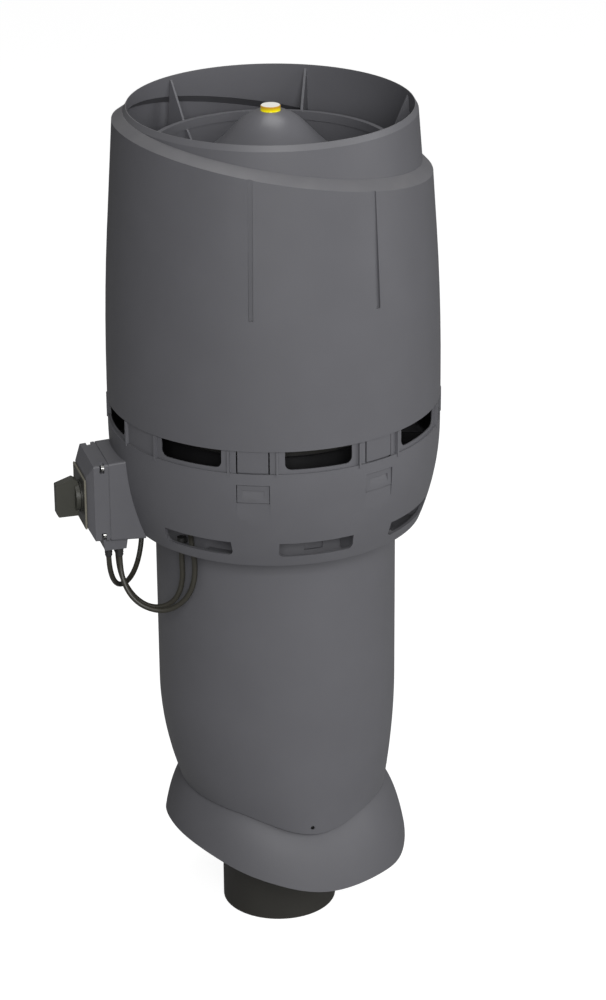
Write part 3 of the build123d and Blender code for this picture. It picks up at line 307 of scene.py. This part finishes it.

# %% [markdown]
# ## Painted shade inside the bowl
# Light hardly reaches the inner wall behind the upper slots, so its shade is painted into the colour. The wall
# could be cut off as a piece of its own with a darker finish, but the bowl is one moulding. So this group marks
# what lies inside a given radius and above a given height for the painted shade, and the outer skin keeps its
# own colour.


# %% Node group: painted inner shade
def inner_shade_group():
    group, given, out, link = new_group(
        "painted inner shade",
        [("Radius", "NodeSocketFloat", 0.1505), ("From height", "NodeSocketFloat", 0.473)],
        [("Painted shade mask", "NodeSocketFloat")],
    )
    place = group.nodes.new("ShaderNodeTexCoord")
    flat = group.nodes.new("ShaderNodeVectorMath")
    flat.operation = "MULTIPLY"
    flat.inputs[1].default_value = (1, 1, 0)
    reach = group.nodes.new("ShaderNodeVectorMath")
    reach.operation = "LENGTH"
    height = group.nodes.new("ShaderNodeSeparateXYZ")
    near, high, both = (group.nodes.new("ShaderNodeMath") for _ in range(3))
    near.operation, high.operation, both.operation = "LESS_THAN", "GREATER_THAN", "MULTIPLY"
    link(place.outputs["Object"], flat.inputs[0])
    link(flat.outputs["Vector"], reach.inputs[0])
    link(place.outputs["Object"], height.inputs[0])
    link(reach.outputs["Value"], near.inputs[0])
    link(given.outputs["Radius"], near.inputs[1])
    link(height.outputs["Z"], high.inputs[0])
    link(given.outputs["From height"], high.inputs[1])
    link(near.outputs[0], both.inputs[0])
    link(high.outputs[0], both.inputs[1])
    link(both.outputs[0], out.inputs["Painted shade mask"])
    return group


painted_inner_shade = inner_shade_group()
print("group:", painted_inner_shade.name)

# %% [markdown]
# ## The plastics
# The shell is a slate-grey plastic with a satin skin. Its colour drifts very slightly, its roughness
# follows the streaks, and the grain gives the highlights their soft edge. One recipe serves every plastic,
# since they differ only in colour, gloss, dust and painted highlight, and depth of grain: the hood is dustier
# and has more painted highlight, the cone is glossier, the collar duller, the bowl has painted shade on its
# inner wall, and the duct, the knob and the switch plate are black.


# %% Plastic material
def moulded_plastic(name, dark, light, rough, dust_and_highlight, grain_depth, paint_inner_shade=False):
    material, tree, shader, link = new_material(name)
    shader.inputs["IOR"].default_value = 1.49
    grain = add_group(tree, moulded_grain)
    marks_and_highlight = add_group(tree, dust_streaks_and_highlight)
    marks_and_highlight.inputs["Dusting and highlight"].default_value = dust_and_highlight
    tint = add_blend(tree, dark, light)
    # pale tint from the mask: dust, and painted highlight on faces that look up
    dust_and_highlight_tint = add_blend(tree, second=(0.34, 0.33, 0.31))
    gloss = add_range(tree, rough - 0.05, rough + 0.07)
    bump = add_bump(tree, 0.25, grain_depth)
    link(grain.outputs["Mottle"], tint.inputs["Factor"])
    link(tint.outputs["Result"], dust_and_highlight_tint.inputs["A"])
    link(marks_and_highlight.outputs["Dusting and highlight mask"], dust_and_highlight_tint.inputs["Factor"])
    colour = dust_and_highlight_tint
    if paint_inner_shade:
        inside = add_group(tree, painted_inner_shade)
        # painted shade: the inner wall is coloured near black
        colour = add_blend(tree, second=(0.012, 0.012, 0.013))
        link(inside.outputs["Painted shade mask"], colour.inputs["Factor"])
        link(dust_and_highlight_tint.outputs["Result"], colour.inputs["A"])
    link(colour.outputs["Result"], shader.inputs["Base Color"])
    link(marks_and_highlight.outputs["Gloss mask"], gloss.inputs["Value"])
    link(gloss.outputs["Result"], shader.inputs["Roughness"])
    link(grain.outputs["Height"], bump.inputs["Height"])
    link(bump.outputs["Normal"], shader.inputs["Normal"])
    return material


slate = ((0.115, 0.115, 0.126), (0.130, 0.130, 0.142))
slate_plastic = moulded_plastic("slate plastic", *slate, 0.46, 0.06, 0.0003)
# the bowl's inner wall gets painted shade
bowl_plastic = moulded_plastic("bowl plastic", *slate, 0.46, 0.06, 0.0003, paint_inner_shade=True)
# the hood's larger share lightens its shoulder and lip: painted highlight, with a little dust
hood_plastic = moulded_plastic(
    "hood plastic", (0.109, 0.109, 0.119), (0.123, 0.123, 0.135), rough=0.44, dust_and_highlight=0.30, grain_depth=0.0003
)
cone_plastic = moulded_plastic(
    "cone plastic", (0.112, 0.112, 0.123), (0.126, 0.126, 0.138), rough=0.34, dust_and_highlight=0.04, grain_depth=0.0002
)
collar_plastic = moulded_plastic(
    "collar plastic", (0.110, 0.110, 0.120), (0.124, 0.124, 0.135), rough=0.64, dust_and_highlight=0.0, grain_depth=0.0003
)
black_plastic = moulded_plastic(
    "black pipe plastic", (0.034, 0.033, 0.029), (0.046, 0.044, 0.039), rough=0.42, dust_and_highlight=0.10, grain_depth=0.0002
)
knob_plastic = moulded_plastic(
    "knob plastic", (0.044, 0.044, 0.036), (0.058, 0.058, 0.048), rough=0.42, dust_and_highlight=0.10, grain_depth=0.0002
)
plate_plastic = moulded_plastic(
    "switch plate plastic", (0.036, 0.036, 0.031), (0.048, 0.048, 0.041), rough=0.36, dust_and_highlight=0.05, grain_depth=0.0001
)
# painted highlight: the bezel is a lighter yellowish grey than the plate
bezel_highlight_plastic = moulded_plastic(
    "bezel highlight plastic", (0.15, 0.14, 0.11), (0.20, 0.19, 0.15), rough=0.34, dust_and_highlight=0.05, grain_depth=0.0001
)
print("plastics:", ", ".join(m.name for m in bpy.data.materials if m.name.endswith("plastic")))

# %% [markdown]
# ## Metals
# Screws and shafts are bright steel with fine turning marks, the motor's parts are cast aluminium with a
# soft sand texture, and the stator is dark sheet steel in thin layers, with copper coils round its teeth.
# Lathe marks and sheet layers could be modelled, but they are finer than a tenth of a millimetre. Noise
# that is squeezed along the axis reads the same and costs nothing.


# %% Metal material
def metal(name, colour, rough, mark_size, mark_depth, layered=False):
    material, tree, shader, link = new_material(name)
    shader.inputs["Metallic"].default_value = 1.0
    place = tree.nodes.new("ShaderNodeTexCoord")
    stretch = tree.nodes.new("ShaderNodeMapping")
    stretch.inputs["Scale"].default_value = (0.15, 0.15, 4.0) if layered else (1.0, 1.0, 1.0)
    marks = add_noise(tree, mark_size, detail=4.0)
    tone = add_blend(tree, [0.82 * c for c in colour], colour)
    gloss = add_range(tree, rough - 0.06, rough + 0.10)
    bump = add_bump(tree, 0.3, mark_depth)
    link(place.outputs["Object"], stretch.inputs["Vector"])
    link(stretch.outputs[0], marks.inputs["Vector"])
    link(marks.outputs["Fac"], tone.inputs["Factor"])
    link(tone.outputs["Result"], shader.inputs["Base Color"])
    link(marks.outputs["Fac"], gloss.inputs["Value"])
    link(gloss.outputs["Result"], shader.inputs["Roughness"])
    link(marks.outputs["Fac"], bump.inputs["Height"])
    link(bump.outputs["Normal"], shader.inputs["Normal"])
    return material


screw_steel = metal("screw steel", (0.60, 0.60, 0.58), 0.28, 900.0, 0.00005, layered=True)
cast_aluminium = metal("cast aluminium", (0.55, 0.56, 0.57), 0.45, 700.0, 0.0002)
sheet_steel = metal("stator sheet steel", (0.16, 0.16, 0.17), 0.42, 600.0, 0.0002, layered=True)
coil_copper = metal("coil copper", (0.55, 0.22, 0.08), 0.35, 500.0, 0.0003, layered=True)
# painted shade: the collar's screws are coloured near black for the shade in their holes
hole_shade_steel = metal("screw steel, painted hole shade", (0.035, 0.035, 0.035), 0.5, 900.0, 0.00005)
print("metals:", ", ".join(m.name for m in (screw_steel, cast_aluminium, sheet_steel, coil_copper, hole_shade_steel)))

# %% [markdown]
# ## Rubber and mineral wool
# Cable jackets and grommets are dull rubber with small scuffs. The sleeve between the two pipes is mineral
# wool, which is all fibres. Real fibres would take millions of hairs for a piece that hardly shows, so the
# wool is the rubber's recipe with a finer, twisted noise and a much deeper bump.


# %% Soft materials
def soft_material(name, dark, light, rough, noise_size=260.0, twist=0.0, bump_strength=0.2, bump_depth=0.0002):
    material, tree, shader, link = new_material(name)
    place = tree.nodes.new("ShaderNodeTexCoord")
    scuff = add_noise(tree, noise_size, detail=5.0)
    scuff.inputs["Distortion"].default_value = twist
    tone = add_blend(tree, dark, light)
    gloss = add_range(tree, rough - 0.08, rough + 0.08)
    bump = add_bump(tree, bump_strength, bump_depth)
    link(place.outputs["Object"], scuff.inputs["Vector"])
    link(scuff.outputs["Fac"], tone.inputs["Factor"])
    link(tone.outputs["Result"], shader.inputs["Base Color"])
    link(scuff.outputs["Fac"], gloss.inputs["Value"])
    link(gloss.outputs["Result"], shader.inputs["Roughness"])
    link(scuff.outputs["Fac"], bump.inputs["Height"])
    link(bump.outputs["Normal"], shader.inputs["Normal"])
    return material


gasket_rubber = soft_material("gasket rubber", (0.018, 0.018, 0.018), (0.030, 0.030, 0.029), 0.62)
cable_jacket = soft_material("cable jacket", (0.030, 0.028, 0.021), (0.046, 0.043, 0.033), 0.42)
mineral_wool = soft_material(
    "mineral wool", (0.30, 0.26, 0.14), (0.52, 0.46, 0.28), 0.9,
    noise_size=420.0, twist=1.6, bump_strength=0.9, bump_depth=0.001,
)
print("soft materials:", gasket_rubber.name, cable_jacket.name, mineral_wool.name)

# %% [markdown]
# ## The round level
# The level on the motor cone is a small cup with a clear lid and yellow liquid. Real glass round real liquid
# needs many light bounces and turns grainy at this size. So the light is painted: a painted reflection makes
# the cup pale where it faces up, and a painted glow, lit by emission, runs from amber down to yellow at its
# sides, from the face's direction and its height.


# %% Level materials
# heights between which the painted glow runs from amber to yellow
painted_glow_top, painted_glow_foot = 0.8030, 0.7990


def level_liquid():
    material, tree, shader, link = new_material("level liquid")
    shader.inputs["Roughness"].default_value = 0.12
    # painted glow: the liquid gives off a little light of its own
    shader.inputs["Emission Strength"].default_value = 0.25
    place = tree.nodes.new("ShaderNodeTexCoord")
    swirl = add_noise(tree, scale=160.0)
    tone = add_blend(tree, (0.62, 0.30, 0.01), (0.95, 0.66, 0.08))
    link(place.outputs["Object"], swirl.inputs["Vector"])
    link(swirl.outputs["Fac"], tone.inputs["Factor"])
    link(tone.outputs["Result"], shader.inputs["Base Color"])
    link(tone.outputs["Result"], shader.inputs["Emission Color"])
    return material


def level_cup():
    material, tree, shader, link = new_material("level cup")
    shader.inputs["Coat Weight"].default_value = 1.0
    # painted glow: the cup gives off its own colour as light
    shader.inputs["Emission Strength"].default_value = 0.35
    place = tree.nodes.new("ShaderNodeTexCoord")
    height = tree.nodes.new("ShaderNodeSeparateXYZ")
    shape = tree.nodes.new("ShaderNodeNewGeometry")
    facing = tree.nodes.new("ShaderNodeSeparateXYZ")
    painted_glow = add_range(tree, from_low=painted_glow_top, from_high=painted_glow_foot)
    sides = add_blend(tree, (0.46, 0.24, 0.02), (0.88, 0.78, 0.0))
    # painted reflection: faces that look up turn pale
    painted_top_reflection = add_range(tree, from_low=0.75, from_high=0.95)
    tone = add_blend(tree, second=(0.86, 0.84, 0.78))
    haze = add_noise(tree, scale=300.0)
    gloss = add_range(tree, 0.06, 0.18)
    link(place.outputs["Object"], height.inputs[0])
    link(height.outputs["Z"], painted_glow.inputs["Value"])
    link(painted_glow.outputs["Result"], sides.inputs["Factor"])
    link(shape.outputs["Normal"], facing.inputs[0])
    link(facing.outputs["Z"], painted_top_reflection.inputs["Value"])
    link(painted_top_reflection.outputs["Result"], tone.inputs["Factor"])
    link(sides.outputs["Result"], tone.inputs["A"])
    link(tone.outputs["Result"], shader.inputs["Base Color"])
    link(tone.outputs["Result"], shader.inputs["Emission Color"])
    link(place.outputs["Object"], haze.inputs["Vector"])
    link(haze.outputs["Fac"], gloss.inputs["Value"])
    link(gloss.outputs["Result"], shader.inputs["Roughness"])
    return material


level_materials = {"vial_clear": level_cup(), "vial_amber": level_liquid()}
print("level:", ", ".join(m.name for m in level_materials.values()))

# %% [markdown]
# ## Each finish on its solids
# The record names a material slot for every node, and a table turns each slot into a finish, so a new node
# finds its finish by itself. A few nodes look a little different from their slot in the photograph: the
# hood, the cone, the bowl and the collar have their own slate, the switch gasket is as grey as its box, and
# the collar's screws are dark.


# %% Paint the solids and the cables
def paint(piece, material):
    piece.data.materials.clear()
    piece.data.materials.append(material)


finishes = {
    "grey_plastic": slate_plastic,
    "black_plastic": black_plastic,
    "knob_plastic": knob_plastic,
    "switch_plate_plastic": plate_plastic,
    "mineral_wool": mineral_wool,
    "gasket_rubber": gasket_rubber,
    "cable_jacket": cable_jacket,
    "screw_steel": screw_steel,
    "motor_aluminium": cast_aluminium,
    "core_steel": sheet_steel,
    "winding_copper": coil_copper,
    **level_materials,
}
# The collar's screws are painted dark for the shade in their holes, the hood carries painted highlight and the
# bowl painted shade inside.
own_finish = {
    "hood": hood_plastic,
    "motor_cone": cone_plastic,
    "lower_casing": bowl_plastic,
    "foot_collar": collar_plastic,
    "switch_gasket": slate_plastic,
    "foot_screws": hole_shade_steel,
}
slots = {part["node"]: part["material_slot"] for part in frame["record"]["subparts"]}
for name, node in nodes.items():
    paint(node, own_finish.get(name, finishes[slots[name]]))
for lead in cables.values():
    paint(lead, cable_jacket)
print("painted:", len(slots), "nodes with", len(finishes) + len(own_finish), "finishes")

# %% [markdown]
# ## Pieces made here
# The next pieces are small, and they are shaped with bmesh: an outline or a face is drawn and then spun,
# inset, extruded or bevelled. A sculpted or boolean shape would need cleaning afterwards, while these stay
# closed and tidy. Each ends the same way, as an object in the scene, so one function does that.


# %% From a mesh in the making to a piece in the scene
def piece_from(mesh, name):
    data = bpy.data.meshes.new(name)
    mesh.to_mesh(data)
    mesh.free()
    piece = bpy.data.objects.new(name, data)
    bpy.context.scene.collection.objects.link(piece)
    return piece


print("pieces are linked to:", bpy.context.scene.collection.name)

# %% [markdown]
# ## Sleeves on the cables
# Where a cable leaves the gland block, a short ribbed sleeve keeps it from kinking. It could be a stack of
# rings. A lathe would turn it from one piece, and so does Blender's spin: one outline of ribs, turned once
# about the cable's own line, gives a closed skin without seams.


# %% Ribbed sleeves
sleeve_length = 7.0
sleeve_steps = 32
sleeve_outline = [
    (2.6, 9.0), (3.7, 9.0), (3.7, 6.4), (3.2, 6.1), (3.2, 5.3), (3.55, 5.0), (3.55, 3.9), (3.1, 3.6), (3.1, 2.8),
    (3.4, 2.5), (3.4, 1.4), (3.0, 1.1), (2.75, 0.0), (2.6, 0.0), (2.6, 9.0),
]


def turned_piece(name, outline, centre):
    mesh = bmesh.new()
    line = [mesh.verts.new((r / 1000, 0.0, z / 1000)) for r, z in outline]
    edges = [mesh.edges.new(pair) for pair in zip(line, line[1:])]
    bmesh.ops.spin(
        mesh, geom=line + edges, cent=(0, 0, 0), axis=(0, 0, 1), angle=2 * math.pi, steps=sleeve_steps,
        use_merge=True,
    )
    bmesh.ops.remove_doubles(mesh, verts=mesh.verts, dist=0.000001)
    bmesh.ops.recalc_face_normals(mesh, faces=mesh.faces)
    bmesh.ops.translate(mesh, verts=mesh.verts, vec=[v / 1000 for v in centre])
    piece = piece_from(mesh, name)
    smooth_solid(piece, turned_sharp_angle)
    return piece


for sleeve_name, points in (
    ("motor_sleeve", motor_points),
    ("supply_sleeve", supply_points),
    ("control_sleeve", control_points),
):
    x, y, z = points[0]
    sleeve = turned_piece(sleeve_name, sleeve_outline, (x, y, z - sleeve_length))
    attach(sleeve, "base")
    paint(sleeve, gasket_rubber)
    print("sleeve:", sleeve.name, len(sleeve.data.polygons), "faces")

# %% [markdown]
# ## A bezel round the switch plate
# The square plate of the switch sits in a thin raised frame, coloured a light yellowish grey as a painted
# highlight along the plate's edge. Four bars would meet in visible mitres. So it starts as one square face:
# an inset makes the frame, the middle is taken out, and an extrusion and a fine bevel give it body. Its size
# follows the plate's own box.


# %% Bezel
bezel_margin = 0.0002
bezel_width = 0.0014
bezel_height = 0.0018
bezel_rounding = 0.0004


def plate_bezel():
    plate_low, plate_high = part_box("switch_plate")
    centre = [(a + b) / 2 for a, b in zip(plate_low, plate_high)]
    half = (plate_high[1] - plate_low[1]) / 2 + bezel_margin
    mesh = bmesh.new()
    bmesh.ops.create_grid(mesh, x_segments=1, y_segments=1, size=half)
    middle = mesh.faces[:]
    bmesh.ops.inset_region(mesh, faces=middle, thickness=bezel_width, use_boundary=True, use_even_offset=True)
    bmesh.ops.delete(mesh, geom=middle, context="FACES")
    grown = bmesh.ops.extrude_face_region(mesh, geom=mesh.faces[:])
    raised = [v for v in grown["geom"] if isinstance(v, bmesh.types.BMVert)]
    bmesh.ops.translate(mesh, verts=raised, vec=(0, 0, bezel_height))
    bmesh.ops.recalc_face_normals(mesh, faces=mesh.faces)
    bmesh.ops.bevel(
        mesh, geom=mesh.edges[:], offset=bezel_rounding, segments=2, profile=0.5, affect="EDGES", material=-1
    )
    sideways = Matrix.Rotation(math.radians(-90), 3, "Y")
    bmesh.ops.rotate(mesh, verts=mesh.verts, cent=(0, 0, 0), matrix=sideways)
    bmesh.ops.translate(mesh, verts=mesh.verts, vec=(plate_high[0] - bezel_margin, centre[1], centre[2]))
    return piece_from(mesh, "plate_bezel")


bezel = plate_bezel()
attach(bezel, "base")
paint(bezel, bezel_highlight_plastic)
print("bezel:", len(bezel.data.polygons), "faces")

# %% [markdown]
# ## Foot plates behind the lower slots
# Beside each slanting web a short plate closes the gap between the bowl's rim and the pipe, so no daylight
# shows through the right slot. A whole ring would be simpler, but it would close the gap that lets the rain
# out. One plate is a flat face cut as part of a ring, which an extrusion makes thick, and a spin sets its
# copies a quarter turn apart.


# %% Foot plates
plate_outer_r, plate_inner_r = 0.1339, 0.1155
plate_foot, plate_thickness = 0.4165, 0.002
plate_start, plate_sweep = -46.0, 17.0
plate_steps = 8
plate_count = 4


def foot_plates():
    mesh = bmesh.new()
    angles = [math.radians(plate_start + plate_sweep * step / plate_steps) for step in range(plate_steps + 1)]
    outline = [(plate_outer_r * math.cos(a), plate_outer_r * math.sin(a)) for a in angles]
    outline += [(plate_inner_r * math.cos(a), plate_inner_r * math.sin(a)) for a in reversed(angles)]
    face = mesh.faces.new([mesh.verts.new((x, y, plate_foot)) for x, y in outline])
    grown = bmesh.ops.extrude_face_region(mesh, geom=[face], use_keep_orig=True)
    raised = [v for v in grown["geom"] if isinstance(v, bmesh.types.BMVert)]
    bmesh.ops.translate(mesh, verts=raised, vec=(0, 0, plate_thickness))
    bmesh.ops.recalc_face_normals(mesh, faces=mesh.faces)
    bmesh.ops.spin(
        mesh, geom=mesh.verts[:] + mesh.edges[:] + mesh.faces[:], cent=(0, 0, 0), axis=(0, 0, 1),
        angle=math.radians(360 / plate_count) * (plate_count - 1), steps=plate_count - 1, use_duplicate=True,
    )
    return piece_from(mesh, "foot_plates")


plates = foot_plates()
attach(plates, "base")
paint(plates, slate_plastic)
print("foot plates:", len(plates.data.polygons), "faces")

# %% [markdown]
# ## The floor
# The floor is a wide pale sheet under the pipe's end. It gives the soft shadow that tells the eye where
# the object stands. White paper would throw too much light up under the collar. A greyer sheet with a
# little light of its own, which only the camera sees, looks just as white and throws back less.


# %% A pale floor
floor_reach = 12.0


def pale_floor():
    mesh = bmesh.new()
    bmesh.ops.create_grid(mesh, x_segments=2, y_segments=2, size=floor_reach)
    floor = piece_from(mesh, "studio_floor")
    material, tree, shader, link = new_material("studio paper")
    shader.inputs["Base Color"].default_value = (0.30, 0.30, 0.30, 1)
    shader.inputs["Roughness"].default_value = 0.9
    shader.inputs["Specular IOR Level"].default_value = 0.0
    shader.inputs["Emission Strength"].default_value = 0.90
    path = tree.nodes.new("ShaderNodeLightPath")
    link(path.outputs["Is Camera Ray"], shader.inputs["Emission Color"])
    paint(floor, material)
    return floor


floor = pale_floor()
print("floor:", floor.name)

# %% [markdown]
# ## Soft light
# The photograph is lit from the right and from behind the camera, so the left flank falls away to a third
# of the brightness while the right side stays even. One sun would leave hard edges, so the light comes from
# large sheets: one softbox to the right, a larger one behind the camera and a small one above the outlet,
# with a dim world for what is left. The plain view transform keeps the paper white and the slate as dark
# as it is.

# %% World and softboxes
bpy.context.scene.view_settings.view_transform = "Standard"
world = bpy.data.worlds.new("studio air")
world.use_nodes = True
world.node_tree.nodes["Background"].inputs["Color"].default_value = (1, 1, 1, 1)
world.node_tree.nodes["Background"].inputs["Strength"].default_value = 0.17
bpy.context.scene.world = world


def softbox(name, place, target, size, power):
    data = bpy.data.lights.new(name, "AREA")
    data.shape = "RECTANGLE"
    data.size, data.size_y = size
    data.energy = power
    lamp = bpy.data.objects.new(name, data)
    bpy.context.scene.collection.objects.link(lamp)
    aim = Vector(target) - Vector(place)
    lamp.matrix_world = Matrix.Translation(place) @ aim.to_track_quat("-Z", "Y").to_matrix().to_4x4()
    return lamp


lamps = [
    softbox("right softbox", place=(2.44, -1.41, 1.5), target=(0, 0, 0.45), size=(2.0, 2.0), power=37.0),
    softbox("front softbox", place=(-0.65, -3.6, 2.3), target=(0, 0, 0.36), size=(2.4, 2.0), power=120.0),
    softbox("top softbox", place=(0.3, 0.5, 3.0), target=(0, 0, 0.7), size=(1.4, 1.4), power=22.0),
]
print("lights:", ", ".join(lamp.name for lamp in lamps))
